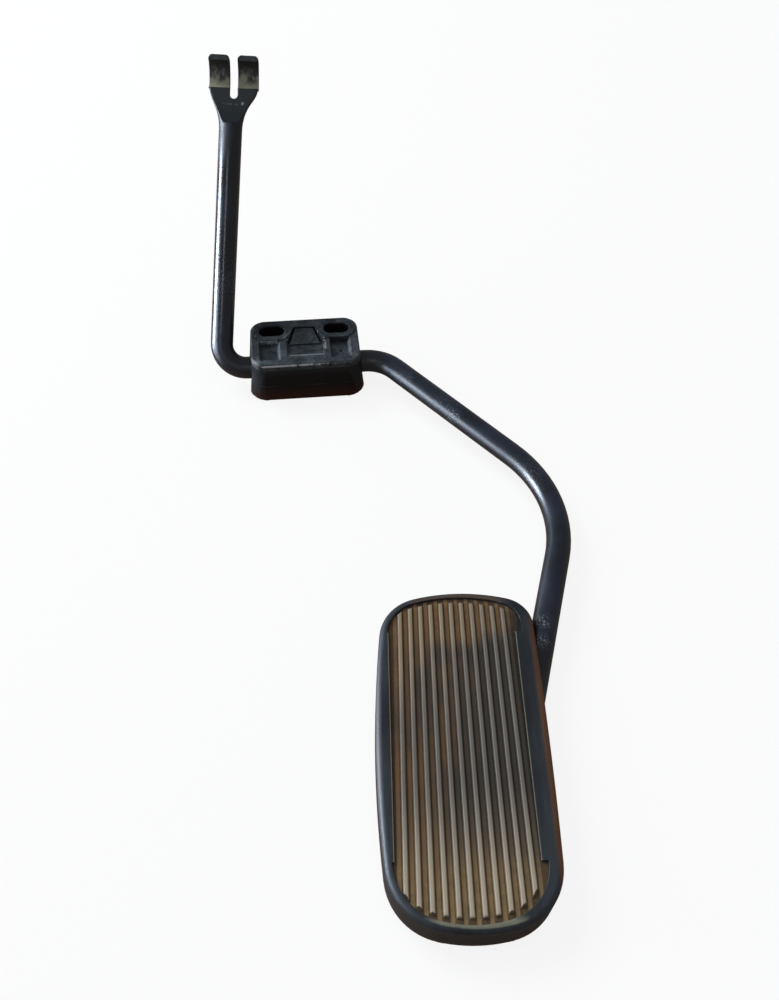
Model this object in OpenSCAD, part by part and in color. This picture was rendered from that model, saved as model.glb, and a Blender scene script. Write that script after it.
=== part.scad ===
// Organ-type accelerator pedal: a bent bar that turns in a bolted bearing block,
// with a forked cable end above and a ribbed foot pad below.
// Frame: the mounting face is z = 0, the middle of the two bolt slots is the origin,
// +X runs along the journal, +Y points to the cable end, +Z away from the mounting face.

/* [Bar] */
// Diameter of the bent bar
bar_d = 10; // [8:0.5:12]
// Height of the journal axis over the mounting face
journal_h = 10; // [9:0.5:14]
// Distance of the journal axis below the line of the bolt slots
journal_drop = 11.8; // [11:0.2:14]
// Free journal between the block side and the arm bend
arm_side_gap = 1.5; // [0.6:0.1:4]
// Free journal between the block side and the shank bend
shank_side_gap = 1.7; // [0.6:0.1:6]
// Centre line radius of the bend between journal and arm
arm_bend_r = 10.5; // [9:0.5:16]
// Angle of the arm over the mounting face
arm_rise = 50.1; // [40:0.5:60]
// Lean of the arm toward the block
arm_lean = 7.2; // [0:0.1:9]
// Straight length of the arm from its bend to the cable seat
arm_len = 108.4; // [90:1:130]
// Centre line radius of the bend between journal and shank
shank_bend_r = 17; // [12:0.5:24]
// Turn of the bend between journal and shank
shank_turn = 50.7; // [40:0.5:55]
// Straight length of the shank
shank_len = 70.1; // [55:1:80]
// Centre line radius of the knee
knee_bend_r = 54.3; // [40:1:65]
// Turn of the knee
knee_turn = 59.6; // [50:0.5:65]
// Straight length of the foot from the knee to the bar end
foot_len = 116; // [100:1:125]

/* [Cable fork] */
// Width over both prongs
fork_w = 21.2; // [18:0.2:24]
// Distance of the pressed end to the block side of the bar line
fork_shift = 0.7; // [0:0.1:1]
// Turn of the pressed end against the bar line
fork_turn = 2.8; // [0:0.1:4]
// Thickness of the pressed blade
blade_t = 4; // [3:0.25:5]
// Width of the cable slot
fork_slot_w = 3.3; // [2.6:0.1:4]
// Depth of the cable slot below the edge of the seat
fork_slot_depth = 4.3; // [3:0.1:8]
// Inner radius of the half round seat
seat_r = 5.4; // [4.5:0.1:6.5]
// Wall of the half round seat
seat_wall = 2.4; // [2:0.1:3.2]
// Length of the neck from the seat to the round bar
neck_len = 16.5; // [16.5:0.5:20]
// Radius of the hollow flare of the neck
neck_flare_r = 20; // [16:0.5:21]
// Distance of the crown of the flare past the seat edge
neck_crown = 3; // [1:0.25:4]
// Radius of the press nose that flattens the neck
press_r = 18; // [14:0.5:18]
// Corner radius of the prong tips
prong_corner_r = 2; // [1:0.1:3.5]

/* [Bearing block] */
// Width of the block over its base
block_w = 52.8; // [52:0.2:58]
// Height of the block over its base
block_l = 33.3; // [32.5:0.1:38]
// Thickness of the block
block_t = 20; // [20:0.5:24]
// Draft of the side walls from base to face
wall_draft = 2; // [1:0.1:2.4]
// Corner radius at the base
base_corner_r = 8.5; // [6:0.25:9]
// Edge break round the face
face_chamfer = 0.7; // [0.3:0.1:1]
// Radial running clearance of the journal
journal_gap = 0.06; // [0.02:0.01:0.1]
// Wall between journal and pocket floors
journal_roof = 2.2; // [1.6:0.1:3]

/* [Bolt slots] */
// Distance between the slot centres
slot_pitch = 29.5; // [28:0.5:31]
// Width of a slot
slot_w = 6.4; // [5.4:0.1:6.8]
// Length of a slot end to end
slot_len = 11.6; // [9:0.1:12]
// Wall of the raised boss round a slot
boss_wall = 2.9; // [2:0.1:3.2]
// Height of the raised boss
boss_h = 0.6; // [0.3:0.1:1]

/* [Pockets] */
// Width of a side pocket at the face
pocket_w = 9.3; // [8:0.1:9.5]
// Height of a side pocket
pocket_l = 12; // [8:0.1:12.4]
// Distance of the side pocket middle from the block middle
pocket_x = 16; // [15.6:0.1:16.5]
// Width that the sloping right wall of a pocket adds
pocket_slope = 1.2; // [0.5:0.1:1.8]
// Wall between the pocket and the lower edge of the face
pocket_rim = 3.9; // [3:0.1:6]
// Half width of the latch window at its top
window_top = 4.8; // [4.6:0.1:6]
// Half width of the latch window at its foot
window_foot = 8.2; // [8:0.1:9]
// Length of the ramp at the foot of the latch window
window_ramp = 4.4; // [2:0.1:5.2]
// Radius of the moulding mark in the right pocket
mark_r = 0.6; // [0.3:0.05:0.9]

/* [Retaining clip] */
// Clearance round the clip
clip_gap = 0.12; // [0.05:0.01:0.3]
// Thickness of the clip plate
clip_t = 3; // [2.4:0.1:3.4]
// Thickness of the latch tongue
tongue_t = 3.4; // [2.6:0.1:3.8]
// Gap round the latch head in its window
head_gap = 0.8; // [0.4:0.1:1.1]
// Lip of the latch head over the journal roof
head_lip = 1.6; // [0.8:0.1:2]

/* [Pad] */
// Width of the pad
pad_w = 60.6; // [56:0.2:66]
// Length of the pad
pad_l = 123.6; // [116:0.2:130]
// Height of the pad with its ribs
pad_h = 14.7; // [14.3:0.1:16]
// Corner radius of the pad outline, upper left
pad_tl_r = 17.5; // [14:0.5:24]
// Corner radius of the pad outline, upper right
pad_tr_r = 12; // [11:0.5:20]
// Corner radius of the pad outline, lower left
pad_bl_r = 21.5; // [16:0.5:26]
// Corner radius of the pad outline, lower right
pad_br_r = 21; // [16:0.5:26]
// Bow of the upper end of the pad
bow_top = 2; // [0.5:0.1:3]
// Bow of the left side of the pad
bow_left = 2; // [0.5:0.1:3]
// Bow of the lower end of the pad
bow_low = 0.9; // [0.5:0.1:3]
// Bow of the right side of the pad
bow_right = 0.6; // [0.3:0.1:3]
// Rounding of the top edge
pad_edge_r = 2.4; // [1.5:0.1:2.6]
// Wall of the pad shell
pad_wall = 2.4; // [2:0.1:3]
// Thickness of the pad plate under the ribs
pad_plate = 2; // [1.6:0.1:2.4]
// Width of the rim at the rounded ends
rim_w = 2.7; // [2.6:0.1:3.4]
// Width that the rim gains on the right side
rim_extra = 2.3; // [0:0.1:3]
// Width of the left shoulder
shoulder_left = 5.3; // [4.4:0.1:6]
// Width of the right shoulder
shoulder_right = 8; // [6:0.1:8.4]
// Length of the shoulders
shoulder_l = 84; // [76:0.5:90]
// Distance of the shoulders' middle over the pad middle
shoulder_y = 2.2; // [-2:0.1:3]
// Turn of the pad against the bar
pad_twist = 15.4; // [13:0.1:17]
// Distance of the bar end right of the pad middle line
bar_end_x = 13; // [10:0.1:14]
// Distance of the bar end below the pad middle
bar_end_y = 29.7; // [26:0.1:34]

/* [Ribs] */
// Number of ribs
rib_n = 11; // [9:1:11]
// Distance from rib to rib
rib_pitch = 3.98; // [3.7:0.01:4]
// Turn from rib to rib, the ribs spread toward the lower end
rib_fan = 0.12; // [0:0.01:0.15]
// Distance of the middle rib left of the pad middle
rib_side = 1.1; // [0:0.1:1.6]
// Height of a rib
rib_h = 1.2; // [0.8:0.1:1.4]
// Width of a rib at its foot
rib_foot = 2; // [1.6:0.1:2.2]
// Width of a rib at its top
rib_top = 1.1; // [0.8:0.1:1.4]
// Distance of the rib ends from the pad outline
rib_inset = 4.8; // [4:0.1:6]
// Distance of the rib end line left of the pad outline
rib_end_shift = 2.2; // [1:0.1:2.6]

/* [Hidden] */
$fn = 64;
eps = 1;
bar_r = bar_d / 2;
bend_draw = 0.02;
neck_end = 0.3;
bore_r = bar_r + journal_gap;
// block levels and middle
face_l = block_l - 2 * wall_draft;
block_top = slot_w / 2 + boss_wall + face_chamfer + wall_draft + 0.85;
block_mid = block_top - block_l / 2;
face_bottom = block_mid - face_l / 2;
corner_x = block_w / 2 - base_corner_r;
corner_y = block_l / 2 - base_corner_r;
draft_rate = wall_draft / block_t;
side_at_journal = block_w / 2 - draft_rate * journal_h;
pocket_floor = journal_h + bore_r + journal_roof;
// journal ends
arm_x0 = -(side_at_journal + arm_side_gap);
shank_x0 = side_at_journal + shank_side_gap;
// arm plane
arm_turn = 90 + arm_lean;
arm_end_angle = 270 - arm_turn;
arm_x1 = arm_x0 + arm_bend_r * cos(arm_end_angle);
arm_y1 = arm_bend_r + arm_bend_r * sin(arm_end_angle);
// lower plane
foot_turn = shank_turn + knee_turn;
shank_x1 = shank_x0 + shank_bend_r * sin(shank_turn);
shank_y1 = -shank_bend_r + shank_bend_r * cos(shank_turn);
shank_x2 = shank_x1 + shank_len * cos(shank_turn);
shank_y2 = shank_y1 - shank_len * sin(shank_turn);
knee_cx = shank_x2 - knee_bend_r * sin(shank_turn);
knee_cy = shank_y2 - knee_bend_r * cos(shank_turn);
knee_x2 = knee_cx + knee_bend_r * sin(foot_turn);
knee_y2 = knee_cy + knee_bend_r * cos(foot_turn);
foot_x2 = knee_x2 + foot_len * cos(foot_turn);
foot_y2 = knee_y2 - foot_len * sin(foot_turn);
// pad place
pad_angle = 90 - foot_turn + pad_twist;
foot_axis_h = pad_h - rib_h - pad_plate - bar_r;
pad_reach = -foot_y2 - bar_end_y;
lower_tilt = asin((journal_h - foot_axis_h) / pad_reach);
bar_end_gy = foot_y2 * cos(lower_tilt) - journal_drop;
pad_cx = foot_x2 - bar_end_x * cos(pad_angle) - bar_end_y * sin(pad_angle);
pad_cy = bar_end_gy - bar_end_x * sin(pad_angle) + bar_end_y * cos(pad_angle);
pad_floor = pad_h - rib_h;
// pad outline, corners and sides counted from the upper right to the left
corner_r = [pad_tr_r, pad_tl_r, pad_bl_r, pad_br_r];
side_bow = [bow_top, bow_left, bow_low, bow_right];
edge_depth = 8;
root_depth = 6;
side_proud = 0.02;
web_pitch = 22;
function corner_at(k, w) = [
  (k == 1 || k == 2) ? bow_left + corner_r[k] - w / 2 : w / 2 - bow_right - corner_r[k],
  (k < 2) ? pad_l / 2 - bow_top - corner_r[k] : bow_low + corner_r[k] - pad_l / 2];
function side_r(k, w) = let (j = (k + 1) % 4, d = norm(corner_at(j, w) - corner_at(k, w)))
  d * d / (8 * side_bow[k]) + side_bow[k] / 2 + max(corner_r[k], corner_r[j]);
function side_at(k, w) = let (j = (k + 1) % 4, c = corner_at(k, w), v = corner_at(j, w) - c,
  d = norm(v), u = v / d, p = side_r(k, w) - corner_r[k], q = side_r(k, w) - corner_r[j],
  a = (p * p - q * q + d * d) / (2 * d), h = sqrt(p * p - a * a))
  c + a * u + h * [-u[1], u[0]];
function heading(v) = atan2(v[1], v[0]);
function start_turn(k, w) = heading(corner_at(k, w) - side_at(k, w));
function end_turn(k, w) = heading(corner_at((k + 1) % 4, w) - side_at(k, w));
function sweep(a, b) = (b - a + 720) % 360;
function polar(r, a) = [r * cos(a), r * sin(a)];
// clip levels
clip_back = 0.3;
journal_y = -journal_drop;
passage_low = journal_y + bore_r + 1.5;
window_high = 2.4;
window_knee = journal_y + bore_r - 0.5;
window_low = face_bottom + pocket_rim + 0.8 + window_ramp;
head_top = window_high - head_gap - 1;

// Places children in the plane of the arm, which turns about the journal axis
module arm_plane() {
  translate([0, -journal_drop, journal_h]) rotate([arm_rise, 0, 0]) children();
}

// Places children in the plane of shank, knee and foot
module lower_plane() {
  translate([0, -journal_drop, journal_h]) rotate([lower_tilt, 0, 0]) children();
}

// Places children at the edge of the cable seat, +Y along the arm, +Z to the driver
module fork_place() {
  arm_plane() translate([arm_x1, arm_y1, 0]) rotate([0, 0, -arm_lean])
    translate([0, arm_len, 0]) children();
}

// Places children on the bar end, +Z along the foot toward the knee
module foot_place() {
  lower_plane() translate([foot_x2, foot_y2, 0]) rotate([0, 0, -foot_turn])
    rotate([0, -90, 0]) children();
}

// A bent piece of bar about the origin, from angle a0 over da degrees. Bending draws the
// section a little thinner, and both ends reach into the straight bar.
module bar_bend(bend_r, a0, da) {
  over = 0.3 / bend_r * 57.3;
  rotate([0, 0, a0 - over]) rotate_extrude(angle = da + 2 * over, $fn = 72)
    translate([bend_r, 0]) circle(r = bar_r - bend_draw, $fn = 36);
}

// A straight piece of bar in the drawing plane, heading a degrees from +X
module bar_run(x, y, a, len) {
  translate([x, y, 0]) rotate([0, 0, a]) rotate([0, 90, 0])
    cylinder(r = bar_r, h = len, $fn = 36);
}

// Half section of the neck as turned, flaring to a half width at the seat
module neck_profile(half) {
  root = bar_r + bend_draw;
  rise = half + 0.1 - root;
  run = neck_len + neck_crown;
  both = (rise * rise + run * run) / (2 * rise);
  crown_r = both - neck_flare_r;
  switch_y = -neck_len + run * neck_flare_r / both;
  difference() {
    translate([0, -neck_len]) square([half, switch_y + neck_len]);
    translate([root + neck_flare_r, -neck_len]) circle(r = neck_flare_r, $fn = 160);
  }
  intersection() {
    translate([0, switch_y - 0.5]) square([fork_w, 0.5 - neck_end - switch_y]);
    translate([root + rise - crown_r, neck_crown]) circle(r = crown_r, $fn = 160);
  }
}

// Press tool over the blade: flat land with a round nose toward the bar
module press_tool() {
  land = 6;
  rotate([0, 90, 0]) translate([0, 0, -fork_w]) linear_extrude(2 * fork_w) union() {
    translate([-blade_t / 2 - press_r, -land]) circle(r = press_r, $fn = 160);
    translate([-blade_t / 2 - 2 * press_r, -land]) square([2 * press_r, neck_len + land]);
  }
}

// Flattened neck between round bar and cable seat, wider on the block side
module neck() {
  difference() {
    rotate([-90, 0, 0]) union() {
      rotate([0, 0, -90]) rotate_extrude(angle = 180, $fn = 72) neck_profile(fork_w / 2 + fork_shift);
      rotate([0, 0, 90]) rotate_extrude(angle = 180, $fn = 72) neck_profile(fork_w / 2 - fork_shift);
    }
    press_tool();
    mirror([0, 0, 1]) press_tool();
  }
}

// Half round seat for the cable end, still without its slot
module seat_body() {
  rotate([0, 90, 0]) translate([0, 0, -fork_w / 2]) linear_extrude(fork_w) difference() {
    translate([-blade_t / 2, seat_r]) circle(r = seat_r + seat_wall, $fn = 96);
    translate([-blade_t / 2, seat_r]) circle(r = seat_r, $fn = 96);
    translate([-blade_t / 2 - 3 * seat_r, -seat_r]) square([3 * seat_r, 5 * seat_r]);
  }
}

// Plan outline of the two prongs and their root, seen square to the blade
module prong_outline() {
  tip = 2 * seat_r + seat_wall;
  half = fork_w / 2;
  inner = fork_slot_w / 2;
  for (side = [-1, 1]) {
    scale([side, 1]) union() {
      translate([inner, -neck_end]) square([half - inner, tip + neck_end - prong_corner_r]);
      translate([inner + prong_corner_r, tip - 2 * prong_corner_r])
        square([half - inner - 2 * prong_corner_r, 2 * prong_corner_r]);
      translate([inner + prong_corner_r, tip - prong_corner_r]) circle(r = prong_corner_r, $fn = 48);
      translate([half - prong_corner_r, tip - prong_corner_r]) circle(r = prong_corner_r, $fn = 48);
    }
  }
  translate([-half + 0.9, -2 * seat_r]) square([fork_w - 1.8, 2 * seat_r]);
}

// Forked cable end on the arm
module fork_end() {
  difference() {
    union() {
      neck();
      translate([fork_shift, 0, 0]) rotate([0, 0, fork_turn]) intersection() {
        seat_body();
        translate([0, 0, -3 * seat_r]) linear_extrude(6 * seat_r) prong_outline();
      }
    }
    translate([fork_shift, 0, -3 * seat_r]) rotate([0, 0, fork_turn])
      linear_extrude(6 * seat_r) union() {
        translate([0, fork_slot_w / 2 - fork_slot_depth]) circle(r = fork_slot_w / 2, $fn = 36);
        translate([-fork_slot_w / 2, fork_slot_w / 2 - fork_slot_depth])
          square([fork_slot_w, 4 * seat_r]);
      }
  }
}

// Bar in one piece: arm with fork, journal, shank, knee and foot
module pedal_bar() {
  color("dimgray") union() {
    fork_place() fork_end();
    arm_plane() union() {
      bar_run(arm_x1, arm_y1, 90 - arm_lean, arm_len - neck_len + 2);
      translate([arm_x0, arm_bend_r, 0]) bar_bend(arm_bend_r, arm_end_angle, arm_turn);
    }
    translate([0, journal_y, journal_h]) bar_run(arm_x0, 0, 0, shank_x0 - arm_x0);
    lower_plane() union() {
      translate([shank_x0, -shank_bend_r, 0]) bar_bend(shank_bend_r, 90 - shank_turn, shank_turn);
      bar_run(shank_x1, shank_y1, -shank_turn, shank_len);
      translate([knee_cx, knee_cy, 0]) bar_bend(knee_bend_r, 90 - foot_turn, knee_turn);
      bar_run(knee_x2, knee_y2, -foot_turn, foot_len);
    }
  }
}

// Tapered block with round corners: half sizes at z = 0, walls come in by rate per mm
module tapered_block(half_x, half_y, corner_r, z0, z1, rate) {
  h = z1 - z0;
  in = rate * h;
  for (sx = [-1, 1]) {
    for (sy = [-1, 1]) {
      translate([sx * (half_x - corner_r), sy * (half_y - corner_r), z0])
        cylinder(r1 = corner_r, r2 = corner_r - in, h = h, $fn = 64);
    }
  }
  translate([0, half_y - corner_r, z0]) rotate([90, 0, 0])
    linear_extrude(2 * (half_y - corner_r))
      polygon([[-half_x, 0], [half_x, 0], [half_x - in, h], [in - half_x, h]]);
  translate([corner_r - half_x, 0, z0]) rotate([90, 0, 90])
    linear_extrude(2 * (half_x - corner_r))
      polygon([[-half_y, 0], [half_y, 0], [half_y - in, h], [in - half_y, h]]);
}

// Stadium outline along X
module slot_outline(len, wide) {
  for (s = [-1, 1]) {
    translate([s * (len - wide) / 2, 0]) circle(r = wide / 2, $fn = 48);
  }
  square([len - wide, wide], center = true);
}

// Side pocket: upright walls, but the right one slopes
module side_pocket(x) {
  depth = block_t - pocket_floor;
  translate([x, face_bottom + pocket_rim + pocket_l, pocket_floor]) rotate([90, 0, 0])
    linear_extrude(pocket_l)
      polygon([[-pocket_w / 2, 0], [pocket_w / 2 - pocket_slope, 0], [pocket_w / 2, depth],
        [pocket_w / 2, depth + boss_h + eps], [-pocket_w / 2, depth + boss_h + eps]]);
}

// Outline of the latch window: a trapezium over a plain rectangle
module window_outline(gap) {
  polygon([[gap - window_top, window_high - gap], [window_top - gap, window_high - gap],
    [window_foot - gap, window_knee], [window_foot - gap, window_low],
    [gap - window_foot, window_low], [gap - window_foot, window_knee]]);
}

// Ramp from the window floor to the face, and the sloping right wall of the window
module window_flare() {
  depth = block_t - pocket_floor;
  translate([-window_foot, window_low, pocket_floor]) rotate([90, 0, 90])
    linear_extrude(2 * window_foot)
      polygon([[0, 0], [0.5, 0], [0.5, depth + eps], [-window_ramp * (depth + eps) / depth, depth + eps]]);
  translate([window_foot, window_knee, pocket_floor]) rotate([90, 0, 0])
    linear_extrude(window_knee - window_low)
      polygon([[0, 0], [pocket_slope * (depth + eps) / depth, depth + eps], [-0.5, depth + eps], [-0.5, 0]]);
}

// Block that carries the journal and is bolted to the car
module bearing_housing() {
  color("black") difference() {
    union() {
      translate([0, block_mid, 0]) tapered_block(block_w / 2, block_l / 2, base_corner_r,
        0, block_t - face_chamfer, draft_rate);
      translate([0, block_mid, 0]) tapered_block(
        block_w / 2 - draft_rate * (block_t - face_chamfer),
        block_l / 2 - draft_rate * (block_t - face_chamfer),
        base_corner_r - draft_rate * (block_t - face_chamfer),
        block_t - face_chamfer, block_t, 1);
      for (s = [-1, 1]) {
        translate([s * slot_pitch / 2, 0, block_t - eps]) linear_extrude(eps + boss_h)
          slot_outline(slot_len + 2 * boss_wall, slot_w + 2 * boss_wall);
      }
    }
    translate([-block_w, journal_y, journal_h]) rotate([0, 90, 0])
      cylinder(r = bore_r, h = 2 * block_w, $fn = 72);
    translate([-block_w, journal_y - bore_r, -eps]) cube([2 * block_w, 2 * bore_r, journal_h + eps]);
    for (s = [-1, 1]) {
      translate([s * slot_pitch / 2, 0, -eps]) linear_extrude(block_t + boss_h + 2 * eps)
        slot_outline(slot_len, slot_w);
    }
    side_pocket(-pocket_x);
    side_pocket(pocket_x);
    translate([0, 0, pocket_floor]) linear_extrude(block_t) window_outline(0);
    window_flare();
    translate([0, 0, -eps]) linear_extrude(block_t) intersection() {
      window_outline(0);
      translate([-block_w, passage_low]) square([2 * block_w, block_l]);
    }
    translate([-window_foot, journal_y, -eps])
      cube([2 * window_foot, passage_low - journal_y + 1, clip_back + clip_t + clip_gap + eps]);
    translate([pocket_x, face_bottom + pocket_rim + pocket_l / 2, pocket_floor - mark_r])
      cylinder(r = mark_r, h = block_t, $fn = 24);
  }
}

// Clip that closes the journal from behind, with the latch head in the window
module retaining_clip() {
  bar_half = bore_r - clip_gap;
  bar_len = block_w - 2 * clip_gap - 3;
  tongue_low = passage_low + clip_gap;
  tongue_half = window_top - 2 * clip_gap;
  color("dimgray") difference() {
    union() {
      translate([-bar_len / 2, journal_y - bar_half, clip_back])
        cube([bar_len, 2 * bar_half, journal_h - clip_back - clip_gap]);
      translate([-tongue_half, journal_y, clip_back])
        cube([2 * tongue_half, tongue_low + tongue_t - journal_y, clip_t]);
      translate([-tongue_half, tongue_low, clip_back])
        cube([2 * tongue_half, tongue_t, pocket_floor + clip_gap - clip_back]);
      translate([0, 0, pocket_floor + clip_gap]) intersection() {
        linear_extrude(block_t) window_outline(head_gap);
        rotate([90, 0, 90]) translate([0, 0, -window_foot]) linear_extrude(2 * window_foot)
          polygon([[tongue_low - head_lip, 0], [tongue_low - head_lip, 0.5],
            [head_top, block_t - pocket_floor - 0.4], [head_top + 1, block_t - pocket_floor - 0.4],
            [head_top + 1, 0]]);
      }
    }
    translate([-block_w, journal_y, journal_h]) rotate([0, 90, 0])
      cylinder(r = bore_r, h = 2 * block_w, $fn = 72);
  }
}

// Bowed side k of the pad outline, moved in by a given amount, with a deep root
module side_sector(k, w, in) {
  o = side_at(k, w);
  a1 = start_turn(k, w);
  a2 = end_turn(k, w);
  r = side_r(k, w);
  intersection() {
    translate(o) circle(r = r + side_proud - in, $fn = 600);
    polygon([o + polar(r - corner_r[k] - root_depth, a1), o + polar(r + 5, a1),
      o + polar(r + 5, a2), o + polar(r - corner_r[(k + 1) % 4] - root_depth, a2)]);
  }
}

// Pad outline of a given width, moved in by a given amount
module pad_outline(in, w = pad_w) {
  translate([(w - pad_w) / 2, 0]) union() {
    for (k = [0:3]) {
      translate(corner_at(k, w)) circle(r = corner_r[k] - in, $fn = 72);
      side_sector(k, w, in);
    }
    polygon([for (k = [0:3]) corner_at(k, w)]);
  }
}

// Half section of the pad edge from x = start to x = reach, h high
module edge_section(start, reach, h) {
  translate([start, 0]) square([reach - pad_edge_r - start, h]);
  translate([start, 0]) square([reach - start, h - pad_edge_r]);
  translate([reach - pad_edge_r, h - pad_edge_r]) circle(r = pad_edge_r, $fn = 32);
}

// Solid pad with a rounded top edge: the bowed sides stand a hair proud of the corners
module pad_solid() {
  for (k = [0:3]) {
    r = side_r(k, pad_w) + side_proud;
    a1 = start_turn(k, pad_w);
    translate(corner_at(k, pad_w)) rotate_extrude($fn = 72)
      edge_section(0, corner_r[k], pad_h - side_proud);
    translate(side_at(k, pad_w)) rotate([0, 0, a1])
      rotate_extrude(angle = sweep(a1, end_turn(k, pad_w)), $fn = 600)
        edge_section(r - edge_depth, r, pad_h);
  }
  linear_extrude(pad_h) pad_outline(edge_depth - 2);
}

// Ribs on the pad face, cut to the rounded outline
module pad_ribs() {
  intersection() {
    translate([-rib_side, 0, 0]) union() {
      for (i = [0 : rib_n - 1]) {
        step = i - (rib_n - 1) / 2;
        translate([step * rib_pitch, 0, 0]) rotate([0, 0, step * rib_fan])
          translate([0, pad_l / 2, pad_floor - 0.5]) rotate([90, 0, 0]) linear_extrude(pad_l)
            polygon([[-rib_foot / 2, 0], [rib_foot / 2, 0], [rib_foot / 2, 0.5],
              [rib_top / 2, rib_h + 0.5], [-rib_top / 2, rib_h + 0.5], [-rib_foot / 2, 0.5]]);
      }
    }
    translate([-rib_end_shift, 0, pad_floor - 0.5]) linear_extrude(rib_h + 0.5)
      pad_outline(rib_inset);
  }
}

// Recess of the ribbed field: rounded ends, straight shoulders along the sides
module field_outline() {
  difference() {
    pad_outline(rim_w, pad_w - rim_extra);
    translate([-pad_w / 2 - eps, shoulder_y - shoulder_l / 2])
      square([shoulder_left + eps, shoulder_l]);
    translate([pad_w / 2 - shoulder_right, shoulder_y - shoulder_l / 2])
      square([shoulder_right + eps, shoulder_l]);
  }
}

// Webs that stiffen the back of the pad
module pad_webs() {
  for (y = [-2 * web_pitch : web_pitch : 2 * web_pitch]) {
    translate([-pad_w / 2, y - 0.9, 1.5]) cube([pad_w, 1.8, pad_floor - 2]);
  }
  translate([-0.9 - 12, -pad_l / 2, 1.5]) cube([1.8, pad_l, pad_floor - 2]);
}

// Foot pad, hollow behind, with a socket for the bar end
module foot_pad() {
  socket_r = bar_r + 2.4;
  depth = pad_floor - pad_plate;
  color("black") difference() {
    translate([pad_cx, pad_cy, 0]) rotate([0, 0, pad_angle]) difference() {
      union() {
        difference() {
          pad_solid();
          translate([0, 0, pad_floor]) linear_extrude(pad_h) field_outline();
          translate([0, 0, -eps]) linear_extrude(depth + eps) pad_outline(pad_wall);
        }
        pad_ribs();
        intersection() {
          translate([0, 0, 0.4]) linear_extrude(pad_floor - 0.9) pad_outline(pad_wall / 2);
          union() {
            pad_webs();
            rotate([0, 0, -pad_angle]) translate([-pad_cx, -pad_cy, 0]) foot_place()
              translate([0, 0, -3]) cylinder(r = socket_r, h = 90, $fn = 64);
          }
        }
      }
    }
    foot_place() translate([0, 0, -0.3]) cylinder(r = bar_r + 0.05, h = foot_len + 4, $fn = 72);
  }
}

pedal_bar();
foot_pad();
bearing_housing();
retaining_clip();
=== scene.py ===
"""Looks of an accelerator pedal: a bent painted bar in a moulded block, with a ribbed foot pad.

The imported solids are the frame. This file gives each its finish, rounds the moulded edges, lays the
worn tread over the pad and sets up the studio. Lengths are metres in the frame of the part, where
the mounting face is z = 0, +X runs along the journal, +Y to the cable end and +Z to the driver. The
places that the finishes and the tread name are millimetres.
"""

from __future__ import annotations

import logging
import math
from dataclasses import dataclass
from enum import Enum
from typing import Any, Mapping, Optional, Union

import bmesh
import bpy
import numpy as np
from mathutils import Euler, Matrix, Vector


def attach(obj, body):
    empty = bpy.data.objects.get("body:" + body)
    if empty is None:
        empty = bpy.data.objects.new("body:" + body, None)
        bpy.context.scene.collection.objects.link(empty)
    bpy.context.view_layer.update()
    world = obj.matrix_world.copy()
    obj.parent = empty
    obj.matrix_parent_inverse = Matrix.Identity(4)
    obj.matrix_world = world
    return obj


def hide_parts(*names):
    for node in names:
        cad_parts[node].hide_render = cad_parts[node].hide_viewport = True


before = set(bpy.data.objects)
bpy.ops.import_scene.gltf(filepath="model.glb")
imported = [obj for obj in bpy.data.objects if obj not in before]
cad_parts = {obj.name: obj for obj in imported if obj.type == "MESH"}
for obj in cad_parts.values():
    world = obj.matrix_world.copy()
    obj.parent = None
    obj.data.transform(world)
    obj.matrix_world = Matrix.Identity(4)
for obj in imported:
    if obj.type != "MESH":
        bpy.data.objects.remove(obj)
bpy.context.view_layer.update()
LOG = logging.getLogger("pedal")
MM = 0.001

Pair = tuple[float, float]
Triple = tuple[float, float, float]
Four = tuple[float, float, float, float]

# How the finishes say where a mark lies: a Step is where it starts and where it is full, a Band is
# its middle and the distances from it at which it ends and is full, and a Stretch is where it
# starts, where it is full, up to where it is full and where it ends.
Step = tuple[float, float]
Band = tuple[float, float, float]
Stretch = tuple[float, float, float, float]


def tone(red: int, green: int, blue: int) -> Triple:
    """Turns a display colour into the linear one that the shaders take.

    Each channel c of 0 to 255 becomes ((c / 255 + 0.055) / 1.055) to the power 2.4.

    Args:
        red: red as displayed, 0 to 255.
        green: green as displayed, 0 to 255.
        blue: blue as displayed, 0 to 255.

    Returns:
        The linear red, green and blue, 0 to 1.
    """
    shown = (np.array([red, green, blue]) / 255 + 0.055) / 1.055
    return tuple(float(c) for c in shown**2.4)


def turned(tip: float, yaw: float) -> Triple:
    """The XYZ turn of a frame that yaws about Z and then tips about X.

    Args:
        tip: degrees about X, applied last.
        yaw: degrees about Z, applied first.

    Returns:
        The three angles in radians.
    """
    both = Matrix.Rotation(math.radians(tip), 3, "X") @ Matrix.Rotation(math.radians(yaw), 3, "Z")
    return tuple(both.to_euler("XYZ"))


def placed(name: str, data: bpy.types.ID) -> bpy.types.Object:
    """Puts an object into the scene, at the origin.

    Args:
        name: name of the object.
        data: its mesh, lamp or camera.

    Returns:
        The object.
    """
    made = bpy.data.objects.new(name, data)
    bpy.context.scene.collection.objects.link(made)
    return made


def dressed(name: str, mesh: bpy.types.Mesh, material: bpy.types.Material) -> bpy.types.Object:
    """Puts a piece into the scene, shaded smooth and in its finish.

    Args:
        name: name of the piece.
        mesh: its mesh.
        material: its finish.

    Returns:
        The piece.
    """
    mesh.polygons.foreach_set("use_smooth", np.ones(len(mesh.polygons), dtype=bool))
    mesh.materials.append(material)
    return placed(name, mesh)


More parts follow.
